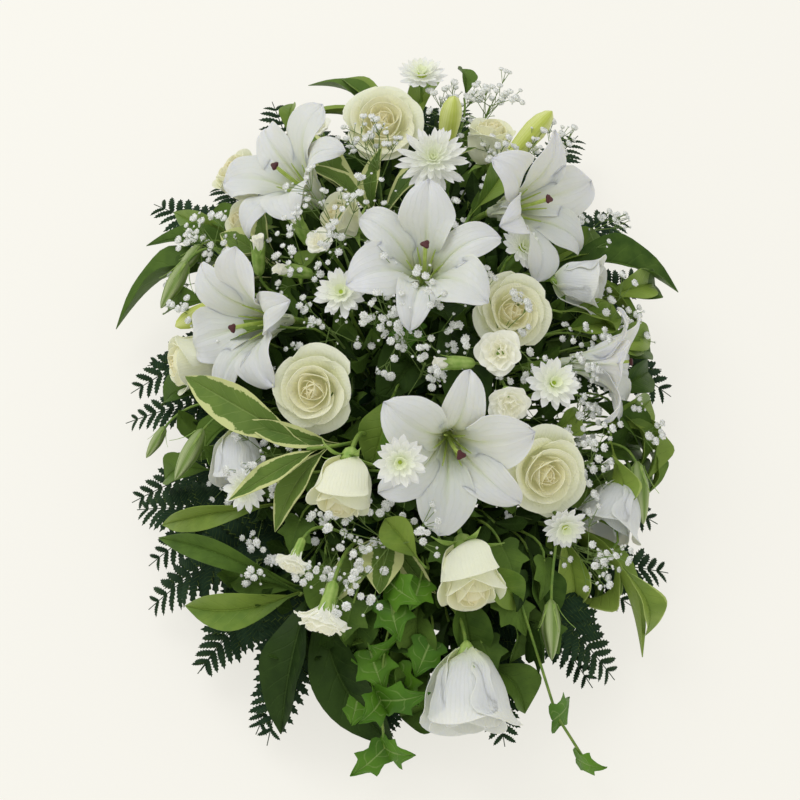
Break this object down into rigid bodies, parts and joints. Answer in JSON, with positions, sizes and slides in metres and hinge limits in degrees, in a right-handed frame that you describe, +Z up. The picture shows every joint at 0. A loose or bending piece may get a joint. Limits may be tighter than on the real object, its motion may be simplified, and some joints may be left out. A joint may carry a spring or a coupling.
{
  "type": "casket spray",
  "caption": "Domed oval floral spray of white lilies, cream roses and mixed white flowers over ferns and broad leaves, in taped wet foam on a long tray.",
  "frame": {"origin": "middle of the tray's flat underside", "axes": "+Z up out of the arrangement, +Y along its long axis towards the back end, -Y towards the trailing front end"},
  "size_m": [0.6325, 0.8613, 0.3301],
  "materials": {
    "tray": "green moulded plastic",
    "foam_block": "green wet floral foam",
    "tape_front": "green waxed fixing tape",
    "tape_back": "green waxed fixing tape",
    "lily_1_tepals": "white waxy petals",
    "lily_1_stem": "fresh green stem, pistil and buds",
    "lily_2_tepals": "white waxy petals",
    "lily_2_stem": "fresh green stem, pistil and buds",
    "lily_3_tepals": "white waxy petals",
    "lily_3_stem": "fresh green stem, pistil and buds",
    "lily_4_tepals": "white waxy petals",
    "lily_4_stem": "fresh green stem, pistil and buds",
    "lily_5_tepals": "white waxy petals",
    "lily_5_stem": "fresh green stem, pistil and buds",
    "lily_6_tepals": "white waxy petals",
    "lily_6_stem": "fresh green stem, pistil and buds",
    "rose_1": "soft ivory petals on a green stem",
    "rose_2": "soft ivory petals on a green stem",
    "rose_3": "soft ivory petals on a green stem",
    "rose_4": "soft ivory petals on a green stem",
    "rose_5": "soft ivory petals on a green stem",
    "rose_6": "soft ivory petals on a green stem",
    "rose_7": "soft ivory petals on a green stem",
    "rose_8": "soft ivory petals on a green stem",
    "rose_9": "soft ivory petals on a green stem",
    "rose_10": "soft ivory petals on a green stem",
    "chrysanthemum_1": "soft white petals on a green stem",
    "chrysanthemum_2": "soft white petals on a green stem",
    "chrysanthemum_3": "soft white petals on a green stem",
    "chrysanthemum_4": "soft white petals on a green stem",
    "chrysanthemum_5": "soft white petals on a green stem",
    "carnation_1": "soft white petals on a green stem",
    "carnation_2": "soft white petals on a green stem",
    "carnation_3": "soft white petals on a green stem",
    "carnation_4": "soft white petals on a green stem",
    "lisianthus_1": "soft white petals on a green stem",
    "lisianthus_2": "soft white petals on a green stem",
    "lisianthus_3": "soft white petals on a green stem",
    "lisianthus_4": "soft white petals on a green stem",
    "lisianthus_5": "soft white petals on a green stem",
    "variegated_1": "mid green leaves with cream margins",
    "variegated_2": "mid green leaves with cream margins",
    "variegated_3": "mid green leaves with cream margins",
    "variegated_4": "mid green leaves with cream margins",
    "laurel_1": "glossy plain green leaves",
    "laurel_2": "glossy plain green leaves",
    "laurel_3": "glossy plain green leaves",
    "laurel_4": "glossy plain green leaves",
    "laurel_5": "glossy plain green leaves",
    "laurel_6": "dark glossy leaves",
    "fern_1": "dark green fronds",
    "fern_2": "dark green fronds",
    "fern_3": "dark green fronds",
    "fern_4": "dark green fronds",
    "ivy_1": "glossy green lobed leaves",
    "ivy_2": "glossy green lobed leaves",
    "gypsophila_1": "tiny white florets on thread-like green stalks",
    "gypsophila_2": "tiny white florets on thread-like green stalks",
    "gypsophila_3": "tiny white florets on thread-like green stalks",
    "gypsophila_4": "tiny white florets on thread-like green stalks"
  },
  "bodies": {
    "root": {"tray": "tray", "foam_block": "foam_block", "tape_front": "tape_front", "tape_back": "tape_back", "lily_1_tepals": "lily_1_tepals", "lily_1_stem": "lily_1_stem", "lily_2_tepals": "lily_2_tepals", "lily_2_stem": "lily_2_stem", "lily_3_tepals": "lily_3_tepals", "lily_3_stem": "lily_3_stem", "lily_4_tepals": "lily_4_tepals", "lily_4_stem": "lily_4_stem", "lily_5_tepals": "lily_5_tepals", "lily_5_stem": "lily_5_stem", "lily_6_tepals": "lily_6_tepals", "lily_6_stem": "lily_6_stem", "rose_1": "rose_1", "rose_2": "rose_2", "rose_3": "rose_3", "rose_4": "rose_4", "rose_5": "rose_5", "rose_6": "rose_6", "rose_7": "rose_7", "rose_8": "rose_8", "rose_9": "rose_9", "rose_10": "rose_10", "chrysanthemum_1": "chrysanthemum_1", "chrysanthemum_2": "chrysanthemum_2", "chrysanthemum_3": "chrysanthemum_3", "chrysanthemum_4": "chrysanthemum_4", "chrysanthemum_5": "chrysanthemum_5", "carnation_1": "carnation_1", "carnation_2": "carnation_2", "carnation_3": "carnation_3", "carnation_4": "carnation_4", "lisianthus_1": "lisianthus_1", "lisianthus_2": "lisianthus_2", "lisianthus_3": "lisianthus_3", "lisianthus_4": "lisianthus_4", "lisianthus_5": "lisianthus_5", "variegated_1": "variegated_1", "variegated_2": "variegated_2", "variegated_3": "variegated_3", "variegated_4": "variegated_4", "laurel_1": "laurel_1", "laurel_2": "laurel_2", "laurel_3": "laurel_3", "laurel_4": "laurel_4", "laurel_5": "laurel_5", "laurel_6": "laurel_6", "fern_1": "fern_1", "fern_2": "fern_2", "fern_3": "fern_3", "fern_4": "fern_4", "ivy_1": "ivy_1", "ivy_2": "ivy_2", "gypsophila_1": "gypsophila_1", "gypsophila_2": "gypsophila_2", "gypsophila_3": "gypsophila_3", "gypsophila_4": "gypsophila_4"}
  },
  "joints": []
}
